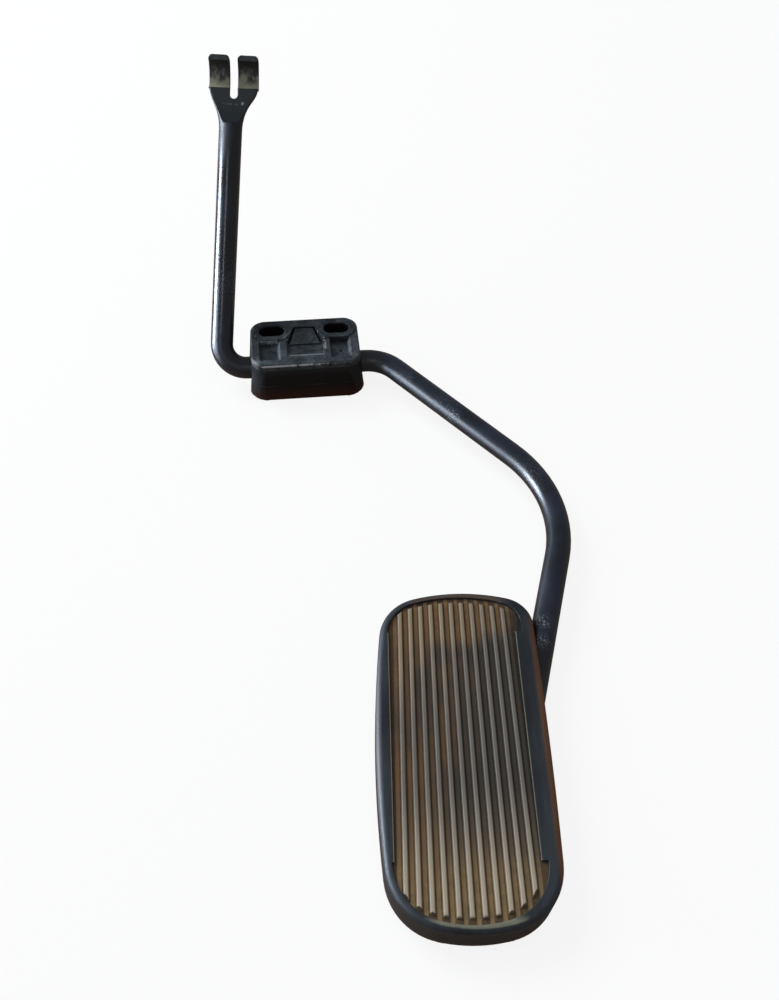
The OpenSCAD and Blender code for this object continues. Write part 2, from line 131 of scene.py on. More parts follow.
@dataclass(frozen=True)
class Place:
    """A local frame on the part: where it starts and how its axes lie."""

    origin: Triple
    turn: Triple

    def out(self, local: np.ndarray) -> np.ndarray:
        """Carries local points onto the part: the rotation times each point, plus the origin.

        Args:
            local: points, one a row.

        Returns:
            The same points in the frame of the part, one a row.
        """
        axes = np.array(Euler(self.turn, "XYZ").to_matrix())
        return local @ axes.T + np.array(self.origin)


PAD = Place((42.903 * MM, -203.566 * MM, 0.0), (0.0, 0.0, math.radians(-4.9)))
FORK = Place((-23.028 * MM, 64.708 * MM, 101.507 * MM), turned(50.1, -4.4))


@dataclass(frozen=True)
class Ribs:
    """How the ribs lie on the pad's face, in millimetres and degrees in the frame of the pad.

    The middle of rib s lies at x = s times the pitch, less the shift, less y times the tangent of
    s times the fan. The shoulders are the straight left and right edges of the ribbed recess.
    """

    pitch: float = 3.98
    count: int = 11
    fan: float = 0.12
    shift: float = 1.1
    shoulders: Pair = (-25.0, 22.3)


RIBS = Ribs()


class Wire:
    """An output socket of a material or of the world, with the operators of shader maths."""

    def __init__(self, graph: "Graph", socket: bpy.types.NodeSocket) -> None:
        """Keeps the socket and the graph that it belongs to."""
        self.graph = graph
        self.socket = socket

    def __add__(self, other: "Term") -> "Wire":
        """Sum of both."""
        return self.graph.maths("ADD", self, other)

    def __sub__(self, other: "Term") -> "Wire":
        """This less the other."""
        return self.graph.maths("SUBTRACT", self, other)

    def __rsub__(self, other: "Term") -> "Wire":
        """The other less this."""
        return self.graph.maths("SUBTRACT", other, self)

    def __mul__(self, other: "Term") -> "Wire":
        """Product of both."""
        return self.graph.maths("MULTIPLY", self, other)

    def __truediv__(self, other: "Term") -> "Wire":
        """This over the other."""
        return self.graph.maths("DIVIDE", self, other)

    def __pow__(self, other: "Term") -> "Wire":
        """This to the power of the other."""
        return self.graph.maths("POWER", self, other)

    __radd__ = __add__
    __rmul__ = __mul__

    def size(self) -> "Wire":
        """The value without its sign."""
        return self.graph.maths("ABSOLUTE", self)

    def away(self, other: "Wire") -> "Wire":
        """Distance from 0 of the point that this and the other are the coordinates of."""
        return (self**2.0 + other**2.0) ** 0.5

    def rise(self, low: float, high: float) -> "Wire":
        """Smooth step from 0 at low to 1 at high, also where low is the larger.

        Args:
            low: value at which the step starts.
            high: value at which it has come to its end.

        Returns:
            The step, 0 to 1.
        """
        start, end = (0.0, 1.0) if low < high else (1.0, 0.0)
        node = self.graph.node(
            "ShaderNodeMapRange",
            {"interpolation_type": "SMOOTHSTEP"},
            {0: self, 1: min(low, high), 2: max(low, high), 3: start, 4: end},
        )
        return Wire(self.graph, node.outputs[0])

    def held(self) -> "Wire":
        """The value held between 0 and 1, smooth where it meets either."""
        return self.rise(0.0, 1.0)

    def near(self, middle: float, outer: float, inner: float) -> "Wire":
        """1 closer than inner to a value, falling smoothly to 0 at outer.

        Args:
            middle: the value.
            outer: distance from it at which nothing is left.
            inner: distance from it up to which all is there.

        Returns:
            The band, 0 to 1.
        """
        return (self - middle).size().rise(outer, inner)

    def between(self, low: float, low_full: float, high_full: float, high: float) -> "Wire":
        """1 between two values, falling smoothly to 0 beyond them.

        Args:
            low: lower value at which it starts.
            low_full: lower value from which all is there.
            high_full: upper value up to which all is there.
            high: upper value at which nothing is left.

        Returns:
            The band, 0 to 1.
        """
        return self.rise(low, low_full) * self.rise(high, high_full)


Term = Union[Wire, float]
Paint = Union[Wire, Triple]


class Graph:
    """The nodes of one material, or of the world, written as expressions."""

    def __init__(self, owner: Union[bpy.types.Material, bpy.types.World]) -> None:
        """Starts the owner's nodes afresh."""
        owner.use_nodes = True
        self.owner = owner
        self.tree = owner.node_tree
        self.tree.nodes.clear()

    def node(
        self,
        kind: str,
        settings: Optional[Mapping[str, Any]] = None,
        sockets: Optional[Mapping[Union[str, int], Any]] = None,
    ) -> bpy.types.Node:
        """Adds a node, sets it up and then fills its inputs.

        Args:
            kind: Blender's type name of the node.
            settings: its settings.
            sockets: values or wires by the name or number of the input.

        Returns:
            The new node.
        """
        made = self.tree.nodes.new(kind)
        for key, value in (settings or {}).items():
            setattr(made, key, value)
        for key, value in (sockets or {}).items():
            self.feed(made.inputs[key], value)
        return made

    def feed(self, socket: bpy.types.NodeSocket, value: Any) -> None:
        """Links a wire to an input, or sets the input's own value.

        Args:
            socket: the input.
            value: a wire, a number, a vector or a linear colour.
        """
        if isinstance(value, Wire):
            self.tree.links.new(value.socket, socket)
        elif isinstance(value, tuple) and socket.type == "RGBA":
            socket.default_value = (*value, 1.0)
        else:
            socket.default_value = value

    def first(
        self,
        kind: str,
        settings: Optional[Mapping[str, Any]] = None,
        sockets: Optional[Mapping[Union[str, int], Any]] = None,
    ) -> Wire:
        """Adds a node and takes its first output, with the arguments of node."""
        return Wire(self, self.node(kind, settings, sockets).outputs[0])

    def maths(self, operation: str, *terms: Term) -> Wire:
        """One Math node.

        Args:
            operation: its operation.
            terms: its inputs in order.

        Returns:
            Its result.
        """
        return self.first("ShaderNodeMath", {"operation": operation}, dict(enumerate(terms)))

    def object_point(self) -> Wire:
        """The point on the surface in the object's own coordinates."""
        return Wire(self, self.node("ShaderNodeTexCoord").outputs["Object"])

    def local(self, place: Place, stretch: Triple = (1.0, 1.0, 1.0)) -> Wire:
        """The point in a local frame, each coordinate divided by its stretch.

        Args:
            place: the local frame.
            stretch: how far a pattern is drawn out along each local axis.

        Returns:
            The local point.
        """
        sockets = {
            "Vector": self.object_point(),
            "Location": place.origin,
            "Rotation": place.turn,
            "Scale": stretch,
        }
        return self.first("ShaderNodeMapping", {"vector_type": "TEXTURE"}, sockets)

    def axes(self, point: Wire) -> tuple[Wire, Wire, Wire]:
        """The three coordinates of a point, in millimetres.

        Args:
            point: a point in metres.

        Returns:
            Its x, y and z in millimetres.
        """
        node = self.node("ShaderNodeSeparateXYZ", None, {0: point})
        return tuple(Wire(self, output) * (1.0 / MM) for output in node.outputs)

    def noise(self, point: Wire, scale: float, detail: float, rough: float = 0.5) -> Wire:
        """Fractal noise about 0.5.

        Args:
            point: where it is read.
            scale: waves per metre.
            detail: octaves.
            rough: how strong the fine octaves are.

        Returns:
            The noise, 0 to 1.
        """
        sockets = {"Vector": point, "Scale": scale, "Detail": detail, "Roughness": rough}
        return self.first("ShaderNodeTexNoise", None, sockets)

    def mix(self, share: Term, first: Paint, second: Paint) -> Wire:
        """Blends two colours.

        Args:
            share: 0 for the first, 1 for the second.
            first: the first colour.
            second: the second colour.

        Returns:
            The blend.
        """
        # The colours of the node are its inputs 6 and 7 and its output 2.
        node = self.node("ShaderNodeMix", {"data_type": "RGBA"}, {0: share, 6: first, 7: second})
        return Wire(self, node.outputs[2])

    def coats(self, ground: Paint, *coats: tuple[Term, Paint]) -> Paint:
        """Lays coats of colour over a ground, one after the other.

        Args:
            ground: the lowest colour.
            coats: how much each coat covers, 0 to 1, and its colour.

        Returns:
            The colour on top.
        """
        for share, colour in coats:
            ground = self.mix(share, ground, colour)
        return ground

    def joined(self, share: Term, first: Wire, second: Wire) -> Wire:
        """Blends two shaders: the first at share 0, the second at share 1."""
        return self.first("ShaderNodeMixShader", None, {0: share, 1: first, 2: second})

    def bump(self, height: Wire, depth: float) -> Wire:
        """A normal that leans with a height.

        Args:
            height: the height, 0 to 1.
            depth: metres between height 0 and 1.

        Returns:
            The normal.
        """
        return self.first(
            "ShaderNodeBump", None, {"Strength": 1.0, "Distance": depth, "Height": height}
        )

    def close(self, constants: Mapping[str, float], **wires: Paint) -> bpy.types.Material:
        """Ends the material in one Principled shader.

        Args:
            constants: values of the shader's own sockets.
            wires: what varies over the surface, with _ for the space in a socket's name.

        Returns:
            The finished material.
        """
        sockets = {**constants, **{key.replace("_", " "): value for key, value in wires.items()}}
        shader = self.first("ShaderNodeBsdfPrincipled", None, sockets)
        self.node("ShaderNodeOutputMaterial", None, {"Surface": shader})
        return self.owner


@dataclass(frozen=True)
class Spot:
    """A round mark on a surface, for rubbed spots and painted glints: its centre and reach in
    millimetres, and how strong it is.
    """

    centre: Triple
    reach: float
    strength: float = 1.0
    core: float = 0.2

    def mask(self, graph: Graph) -> Wire:
        """The strength within the core's share of the reach, falling to 0 at the reach.

        Args:
            graph: the material that it is in.

        Returns:
            The mask, 0 to the strength.
        """
        centre = tuple(MM * c for c in self.centre)
        node = graph.node(
            "ShaderNodeVectorMath", {"operation": "DISTANCE"}, {0: graph.object_point(), 1: centre}
        )
        reach = self.reach * MM
        return Wire(graph, node.outputs["Value"]).rise(reach, self.core * reach) * self.strength


@dataclass(frozen=True)
class BarPaint:
    """Gloss black paint on the bent bar, rubbed in places, bare where the cable end sits, with
    painted shade, painted highlights and a painted warm reflection.

    Places on the fork are given across it, along its blade and out from it. The half round seat
    of the cable end has its axis at the seat's axis and its wall at the seat's radius.
    """

    deep: Triple = tone(13, 17, 25)
    hazy: Triple = tone(27, 34, 49)
    blade: Triple = tone(18, 27, 32)
    # Scuffs, and the colour of painted glints and highlights on the knee and the fork.
    scuff_and_glint: Triple = tone(138, 142, 150)
    # Darker where the bar enters the block.
    stub_dark: Triple = tone(17, 15, 13)
    # Worn bare metal low in the cable seat, made lighter as a painted highlight where it faces the
    # light.
    bare_and_highlight: Triple = tone(122, 121, 104)
    # Painted highlight, with wear, on the rims of the prong tips.
    rim: Triple = tone(60, 66, 66)
    # Painted shade over the whole trough of the cable seat.
    trough_shade: Triple = tone(9, 9, 9)
    # Rust with a painted warm reflection, on the underside of the bar.
    rust_and_warm_reflection: Triple = tone(46, 20, 10)
    # Rubbed spots; the broad one on the knee is a painted highlight, flecked like the rest.
    rubbed_and_glints: tuple[Spot, ...] = (
        Spot((80.9, -156.5, 12.3), 5.0, 0.9),
        Spot((79.0, -165.0, 12.2), 5.0, 0.7),
        Spot((62.0, -51.3, 12.0), 5.0, 0.9),
        Spot((58.0, -46.0, 13.0), 12.0, 0.35),
        Spot((88.0, -87.0, 11.0), 16.0, 0.4),
        Spot((45.0, -27.0, 14.0), 7.0, 0.4),
        Spot((-39.2, 15.0, 42.0), 22.0, 0.45),
    )
    # Painted glint on the press fold of the fork; the nick on the arm is a real mark.
    fork_glint: Spot = Spot((-19.8, 59.1, 97.9), 0.9)
    arm_nick: Spot = Spot((-39.4, 30.0, 62.0), 2.0)
    seat_axis: Pair = (5.4, 2.0)
    seat_radius: Step = (5.75, 5.5)
    seat_mouth: Step = (1.97, 1.85)
    seat_half: Step = (11.2, 10.8)
    bare_along: Step = (10.4, 5.4)
    bare_ragged: float = 5.0
    neck_along: Step = (-38.0, -18.0)
    blade_along: Step = (-20.0, -14.0)
    fork_out: Step = (-20.0, -12.0)
    prong_along: Step = (-0.6, 0.2)
    prong_out: Step = (1.0, 1.9)
    # Painted highlight along the press fold of the blade, flecked like a scuff.
    crease_along: float = -6.6
    crease_lean: float = 0.03
    crease_half: Step = (0.5, 0.1)
    crease_out: Step = (1.2, 1.8)
    crease_across: Stretch = (-5.5, -4.0, 3.6, 4.6)
    low_z: Step = (34.0, 14.0)
    stub_x: Step = (40.0, 31.0)
    stub_y: Step = (-24.0, -16.0)
    stub_z: Step = (24.0, 18.0)
    foot_y: Step = (-95.0, -135.0)
    under_y: Step = (-4.0, -12.0)
    under_z: Step = (9.0, 5.5)
    gloss: float = 0.19
    relief: float = 0.03 * MM

    def build(self) -> bpy.types.Material:
        """The paint: haze by large noise, fine scratches, rubbed spots and the worn cable seat, with
        painted shade in the seat, painted highlights and glints on the fork and the knee, and a
        painted warm reflection underneath.

        Returns:
            The finished material.
        """
        g = Graph(bpy.data.materials.new("bar_paint_worn"))
        point = g.object_point()
        x, y, z = g.axes(point)
        across, along, out = g.axes(g.local(FORK))
        haze = g.noise(point, scale=45.0, detail=4.0, rough=0.6).rise(0.35, 0.7)
        flecks = g.noise(point, scale=1500.0, detail=3.0, rough=0.65)
        grain = g.noise(point, scale=5200.0, detail=2.0, rough=0.6)
        wear = g.noise(g.local(FORK, (1.0, 2.5, 1.0)), scale=420.0, detail=3.0, rough=0.6)

        rubbed_and_glints = sum(spot.mask(g) for spot in self.rubbed_and_glints)
        scuffs_and_glints = (rubbed_and_glints * flecks.rise(0.5, 0.66)).rise(0.0, 0.9)
        nicks_and_glints = self.fork_glint.mask(g) + self.arm_nick.mask(g) * flecks.rise(0.4, 0.6)

        axis_along, axis_out = self.seat_axis
        # The trough of the cable seat, where shade is painted.
        trough = (along - axis_along).away(out - axis_out).rise(*self.seat_radius)
        trough = trough * out.rise(*self.seat_mouth) * across.size().rise(*self.seat_half)
        ragged = (along + wear.rise(0.32, 0.68) * self.bare_ragged).rise(*self.bare_along)
        seat = trough * ragged * (flecks + 0.5).held()
        prong = along.rise(*self.prong_along) * (1.0 - trough) * out.rise(*self.prong_out)
        prong = prong * wear.rise(0.3, 0.6)
        # Painted highlight along the press fold.
        crease = along - self.crease_along + across * self.crease_lean
        crease = crease.size().rise(*self.crease_half) * out.rise(*self.crease_out)
        crease = crease * across.between(*self.crease_across) * flecks.rise(0.42, 0.6)

        neck = along.rise(*self.neck_along) * out.rise(*self.fork_out)
        blade = along.rise(*self.blade_along) * out.rise(*self.fork_out)
        stub = x.size().rise(*self.stub_x) * z.rise(*self.stub_z) * y.rise(*self.stub_y)
        under = z.rise(*self.under_z) * y.rise(*self.under_y)
        colour = g.coats(
            self.deep,
            (haze, self.hazy),
            (blade, self.blade),
            # Rust and a painted warm reflection underneath.
            (under * 0.75, self.rust_and_warm_reflection),
            # Darker on the stubs next to the block.
            (stub * (haze * 0.4 + 0.4), self.stub_dark),
            # Scuffs, with a painted highlight on the knee.
            (scuffs_and_glints * 0.7, self.scuff_and_glint),
            # Painted shade in the trough.
            (trough, self.trough_shade),
            # Bare metal with a painted highlight, low in the seat.
            (seat, self.bare_and_highlight),
            # Painted highlight with wear on the prong tips.
            (prong * 0.5, self.rim),
            # Painted glint and highlight on the press fold, and the nick on the arm.
            ((nicks_and_glints + crease * 0.45).held(), self.scuff_and_glint),
        )
        rough = haze * 0.07 + self.gloss + z.rise(*self.low_z) * 0.1 + y.rise(*self.foot_y) * 0.07
        rough = rough + scuffs_and_glints * 0.2 + neck * 0.27 + grain * 0.05
        normal = g.bump(g.noise(point, scale=700.0, detail=2.0) + scuffs_and_glints * flecks, self.relief)
        return g.close({"IOR": 1.5}, Base_Color=colour, Roughness=rough, Normal=normal)


@dataclass(frozen=True)
class BlockPlastic:
    """Satin black moulding of the bearing block, dusty in its pockets and brown at its foot, with
    painted shade on its walls and painted highlights on its edges and slopes.

    Heights run from the flat back at 0 past the face to the bosses' tops at 20. The latch window
    has an edge below, a sloping foot, a slope at either side and a ceiling.
    """

    name: str
    body: Triple = tone(28, 32, 36)
    # Painted shade: the outer walls darker than the face.
    dusty: Triple = tone(70, 77, 82)
    wall: Triple = tone(12, 11, 10)
    # Painted highlight on the sloping walls of the pockets and the latch window.
    painted_highlight: Triple = tone(124, 133, 140)
    # Dust and painted light in a pale patch high in the left pocket.
    pale: Triple = tone(150, 165, 178)
    foot: Triple = tone(58, 25, 13)
    # Wear, and the colour of painted highlights on edges and painted glints by the latch.
    wear_and_highlight: Triple = tone(165, 167, 170)
    shade: Triple = tone(24, 14, 12)
    # Painted glints by the latch.
    nicks_and_glints: tuple[Spot, ...] = (
        Spot((6.1, -1.5, 20.0), 0.9),
        Spot((8.6, -5.4, 20.0), 0.6, 0.7),
        Spot((8.6, -7.2, 20.0), 0.6, 0.7),
    )
    stroke_turn: float = 0.9
    face_z: Step = (16.8, 17.2)
    top_z: Step = (19.6, 19.9)
    below_top_z: Step = (20.05, 19.9)
    dust_y: Step = (2.0, -9.0)
    low_wall_y: Step = (-21.9, -22.4)
    side_wall_x: Step = (24.4, 24.9)
    slot_x: Stretch = (8.2, 9.0, 20.5, 21.2)
    slot_y: Stretch = (-3.6, -3.3, 3.3, 3.6)
    slot_z: Step = (19.9, 19.2)
    low_edge_y: Band = (-21.7, 0.55, 0.2)
    low_edge_z: Step = (18.6, 19.1)
    low_edge_x: Step = (26.0, -24.0)
    corner_at: Pair = (-24.2, -19.2)
    corner_reach: Step = (5.5, 2.0)
    corner_y: Step = (-13.5, -16.0)
    corner_z: Step = (16.0, 19.2)
    window_edge_y: Band = (-17.35, 0.4, 0.1)
    window_edge_half: Step = (8.6, 8.2)
    window_foot_y: Band = (-14.1, 1.3, 0.7)
    window_foot_half: Step = (8.7, 7.9)
    window_foot_z: Step = (19.7, 19.4)
    window_top_x: Band = (-16.2, 4.2, 3.6)
    window_top_y: Band = (-5.75, 0.3, 0.12)
    window_top_z: Step = (17.0, 18.4)
    left_slope_x: Band = (-12.0, 0.75, 0.5)
    right_slope_x: Band = (20.0, 0.8, 0.5)
    slope_y: Stretch = (-18.0, -17.6, -6.2, -5.6)
    latch_x: Band = (8.8, 0.8, 0.5)
    latch_y: Stretch = (-12.6, -12.0, -7.4, -6.6)
    seam_z: Band = (8.0, 0.22, 0.05)
    brown_z: Step = (8.0, 0.0)
    satin: float = 0.44
    relief: float = 0.04 * MM

    def build(self) -> bpy.types.Material:
        """The moulding: mottled haze, faint scratches, dust low in the face, wear and painted
        highlights on its edges, painted highlights on its slopes and painted shade on its walls.

        Returns:
            The finished material.
        """
        g = Graph(bpy.data.materials.new(self.name))
        point = g.object_point()
        x, y, z = g.axes(point)
        haze = g.noise(point, scale=150.0, detail=4.0, rough=0.6).rise(0.36, 0.72)
        patch = g.noise(point, scale=420.0, detail=3.0, rough=0.6)
        grain = g.noise(point, scale=2400.0, detail=2.0, rough=0.6)
        slanted = Place((0.0, 0.0, 0.0), (0.0, 0.0, self.stroke_turn))
        strokes = g.noise(g.local(slanted, (9.0, 1.0, 1.0)), scale=1300.0, detail=3.0, rough=0.6)

        face = z.rise(*self.face_z)
        dust = face * (haze * 0.7 + y.rise(*self.dust_y) * 0.35) * patch.rise(0.2, 0.6)
        # The outer walls, where shade is painted.
        wall = y.rise(*self.low_wall_y) + x.size().rise(*self.side_wall_x) * (1.0 - face)
        slot = z.rise(*self.slot_z) * y.between(*self.slot_y) * x.size().between(*self.slot_x)
        seam = z.near(*self.seam_z) * wall.rise(0.2, 0.8) * haze
        scratch = strokes.rise(0.62, 0.72) * face * z.rise(*self.top_z)

        # Painted highlight along the face's lower edge, with some wear.
        low_edge = y.near(*self.low_edge_y) * z.rise(*self.low_edge_z)
        low_edge = low_edge * (patch + x.rise(*self.low_edge_x) * 0.42).rise(0.5, 0.78)
        corner_x, corner_y = self.corner_at
        corner = (x - corner_x).away(y - corner_y).rise(*self.corner_reach)
        corner = corner * z.rise(*self.corner_z) * y.rise(*self.corner_y) * patch.rise(0.3, 0.62)
        edge = y.near(*self.window_edge_y) * x.size().rise(*self.window_edge_half)
        edge = edge * face * patch.rise(0.25, 0.5)
        nicks_and_glints = sum(spot.mask(g) for spot in self.nicks_and_glints)
        lines = (low_edge * 0.75 + corner * 0.55 + edge * 0.15 + nicks_and_glints).held()

        # Painted highlights where sloping walls face the light.
        recessed = face * z.rise(*self.below_top_z)
        slopes = x.near(*self.left_slope_x) + x.near(*self.right_slope_x)
        slopes = slopes * y.between(*self.slope_y)
        latch = x.near(*self.latch_x) * y.between(*self.latch_y)
        ramp = y.near(*self.window_foot_y) * x.size().rise(*self.window_foot_half)
        ramp = ramp * z.rise(*self.window_foot_z) * patch.rise(0.1, 0.5)
        slope_highlight = (slopes + latch * 0.9) * recessed * patch.rise(0.24, 0.56) + ramp
        # Pale patch high in the left pocket: dust and painted light.
        ceiling = y.near(*self.window_top_y) * x.near(*self.window_top_x) * recessed
        ceiling = ceiling * patch.rise(0.3, 0.62) * z.rise(*self.window_top_z)

        colour = g.coats(
            self.body,
            (dust, self.dusty),
            # Painted shade on the outer walls.
            (wall.held(), self.wall),
            (slot, self.shade),
            (z.rise(*self.brown_z) * 0.85, self.foot),
            (scratch * 0.25 + seam * 0.12, self.wear_and_highlight),
            # Painted highlight on the slopes.
            (slope_highlight.held() * 0.7, self.painted_highlight),
            (ceiling, self.pale),
            # Wear on the corner, and painted highlights and glints on the edges.
            (lines, self.wear_and_highlight),
        )
        rough = haze * 0.16 + self.satin + lines * 0.1
        normal = g.bump(grain + strokes * 0.8 - seam * 3.0, self.relief)
        return g.close(
            {"Specular IOR Level": 0.18}, Base_Color=colour, Roughness=rough, Normal=normal
        )


@dataclass(frozen=True)
class PadRubber:
    """Worn black moulding of the pad's rim, shoulders and walls.

    The low and the high rim bend with the pad's ends: their places are given for x = 0, and each
    moves by its bow times the square of x.
    """

    black: Triple = tone(28, 31, 34)
    slate: Triple = tone(45, 50, 56)
    # Painted highlight on the rounded lower rim.
    rim: Triple = tone(116, 116, 100)
    # Painted highlight, with wear, along the inner edges of the shoulders.
    line: Triple = tone(132, 128, 112)
    # Painted shade: the lower walls darker.
    wall: Triple = tone(22, 21, 19)
    foot: Triple = tone(58, 34, 18)
    # Painted highlight along the upper rim.
    clay_dust_and_rim_highlight: Triple = tone(86, 68, 50)
    # Painted warm reflection, with dust, on the right wall.
    side: Triple = tone(98, 64, 41)
    # Painted sheen on the left wall.
    painted_highlight: Triple = tone(104, 103, 107)
    shoulder_band: Step = (0.4, 0.12)
    shoulder_y: Stretch = (-40.4, -39.6, 44.2, 45.0)
    shoulder_z: Step = (13.7, 14.3)
    low_rim_y: Step = (-52.0, -57.0)
    low_rim_z: Step = (14.4, 14.66)
    low_bow: float = 0.013
    high_rim_y: Step = (52.0, 55.0)
    high_rim_z: Step = (14.3, 14.6)
    high_bow: float = 0.012
    right_wall_x: Step = (26.4, 29.2)
    right_wall_z: Step = (5.0, 11.0)
    left_wall_x: Step = (-27.6, -30.0)
    lower_wall_x: Step = (27.0, 24.0)
    lower_wall_z: Step = (12.6, 11.2)
    foot_z: Step = (6.0, 0.5)
    satin: float = 0.42
    relief: float = 0.05 * MM

    def build(self) -> bpy.types.Material:
        """The moulding: mottled slate, painted highlights with wear on the edges by the ribs, painted
        highlights on the rims, a painted sheen on the left wall, a painted warm reflection with dust
        on the right wall, painted shade on the lower walls and brown at the foot.

        Returns:
            The finished material.
        """
        g = Graph(bpy.data.materials.new("pad_rubber_worn"))
        x, y, z = g.axes(g.local(PAD))
        streak = g.noise(g.local(PAD, (1.0, 10.0, 1.0)), scale=330.0, detail=4.0, rough=0.6)
        cloud = g.noise(g.local(PAD, (1.0, 2.6, 1.0)), scale=60.0, detail=3.0, rough=0.5)
        speck = g.noise(g.object_point(), scale=1100.0, detail=3.0, rough=0.6)

        # The shoulders' edges, where a highlight is painted.
        edge = sum(x.near(shoulder, *self.shoulder_band) for shoulder in RIBS.shoulders)
        edge = edge * y.between(*self.shoulder_y) * z.rise(*self.shoulder_z)
        # Painted highlight on the rounded lower rim.
        low_rim = (y + x * x * self.low_bow).rise(*self.low_rim_y) * z.rise(*self.low_rim_z)
        # Painted highlight along the upper rim.
        high_rim = (y - x * x * self.high_bow).rise(*self.high_rim_y) * z.rise(*self.high_rim_z)
        # The right wall, where a warm reflection is painted.
        right_wall = x.rise(*self.right_wall_x) * z.rise(*self.right_wall_z)

        colour = g.coats(
            self.black,
            ((cloud * 0.6 + streak * 0.4).rise(0.36, 0.62), self.slate),
            # Painted highlight with wear on the shoulders' edges.
            (edge * (streak * 0.5 + 0.3), self.line),
            # Painted highlight on the lower rim.
            ((low_rim * (streak * 0.7 + 0.5)).held(), self.rim),
            # Painted highlight on the upper rim.
            (high_rim * (cloud * 0.5 + 0.25), self.clay_dust_and_rim_highlight),
            # Painted warm reflection with dust on the right wall.
            ((right_wall * (cloud * 0.9 + 0.3)).held(), self.side),
            # Painted sheen on the left wall.
            (x.rise(*self.left_wall_x) * (cloud * 0.8 + 0.2), self.painted_highlight),
            # Painted shade on the lower walls.
            (z.rise(*self.lower_wall_z) * x.rise(*self.lower_wall_x), self.wall),
            (z.rise(*self.foot_z) * 0.85, self.foot),
        )
        rough = cloud * 0.1 + self.satin + speck * 0.08
        normal = g.bump(speck + streak * 0.5, self.relief)
        return g.close(
            {"Specular IOR Level": 0.32}, Base_Color=colour, Roughness=rough, Normal=normal
        )


@dataclass(frozen=True)
class TreadDust:
    """The ribbed face of the pad: ribs worn pale, brown and grey dust in the grooves, and painted
    shade deep in them.
    """

    rib: Triple = tone(136, 121, 100)
    rib_low: Triple = tone(172, 160, 140)
    rib_mid: Triple = tone(99, 94, 87)
    brown: Triple = tone(106, 82, 59)
    dusk: Triple = tone(64, 60, 55)
    clay_dust_and_rim_highlight: Triple = tone(136, 114, 80)
    silt: Triple = tone(126, 109, 84)
    # Painted shade deep in the grooves.
    crease: Triple = tone(30, 25, 21)
    middle_y: float = 1.0
    ends_y: Step = (34.0, 52.0)
    left_x: Step = (22.0, -22.0)
    low_y: Step = (-10.0, -52.0)
    clay_y: Step = (20.0, -20.0)
    pale_y: Step = (5.0, 32.0)
    groove_z: Step = (14.1, 13.6)
    groove_from_rib: Step = (1.5, 1.15)
    crown_z: Step = (14.25, 14.62)
    matt: float = 0.86
    relief: float = 0.1 * MM

    def build(self) -> bpy.types.Material:
        """The face: its colour goes by height, by place over the pad and by noise along the ribs.

        A point's distance from the nearest rib is its place in rib steps, less that rounded to a
        whole number, times the pitch.

        Returns:
            The finished material.
        """
        g = Graph(bpy.data.materials.new("tread_dust"))
        x, y, z = g.axes(g.local(PAD))
        point = g.object_point()
        streak = g.noise(g.local(PAD, (1.0, 14.0, 1.0)), scale=420.0, detail=4.0, rough=0.6)
        cloud = g.noise(g.local(PAD, (1.0, 2.4, 1.0)), scale=62.0, detail=4.0, rough=0.55)
        blotch = g.noise(point, scale=260.0, detail=3.0, rough=0.6)
        speck = g.noise(point, scale=1500.0, detail=3.0, rough=0.6)

        step = (x + RIBS.shift) / (RIBS.pitch - y * math.radians(RIBS.fan))
        from_rib = ((step - g.maths("ROUND", step)) * RIBS.pitch).size()
        ends = (y - self.middle_y).size().rise(*self.ends_y)
        left = x.rise(*self.left_x)
        low_end = y.rise(*self.low_y)
        brown = (cloud * 0.8 + left * 0.3 + ends * 0.3 - 0.1).rise(0.38, 0.66)
        clay_dust_and_rim_highlight = ends * blotch.rise(0.35, 0.6) * (y.rise(*self.clay_y) * 0.5 + 0.25)
        # Painted shade deep in the grooves, away from the ribs.
        groove_shade = z.rise(*self.groove_z) * from_rib.rise(*self.groove_from_rib)
        dust = g.coats(
            self.dusk,
            (brown, self.brown),
            (low_end * 0.55, self.silt),
            (clay_dust_and_rim_highlight, self.clay_dust_and_rim_highlight),
            (speck.rise(0.5, 0.8) * 0.12, self.rib),
            # Painted shade in the grooves.
            (groove_shade * (streak * 0.4 + 0.45), self.crease),
        )
        pale = (brown * 0.5 + left * 0.5).rise(0.1, 1.0) * y.rise(*self.pale_y)
        ridge = g.coats(
            self.rib_mid,
            (pale, self.rib),
            (low_end * (cloud * 0.5 + 0.5), self.rib_low),
        )
        crown = z.rise(*self.crown_z) * (streak * 0.55 + 0.62).held()
        rough = self.matt - crown * 0.3 + speck * 0.06
        normal = g.bump(speck * (1.2 - crown) + streak * 0.4, self.relief)
        return g.close(
            {"Specular IOR Level": 0.3},
            Base_Color=g.mix(crown, dust, ridge),
            Roughness=rough,
            Normal=normal,
        )


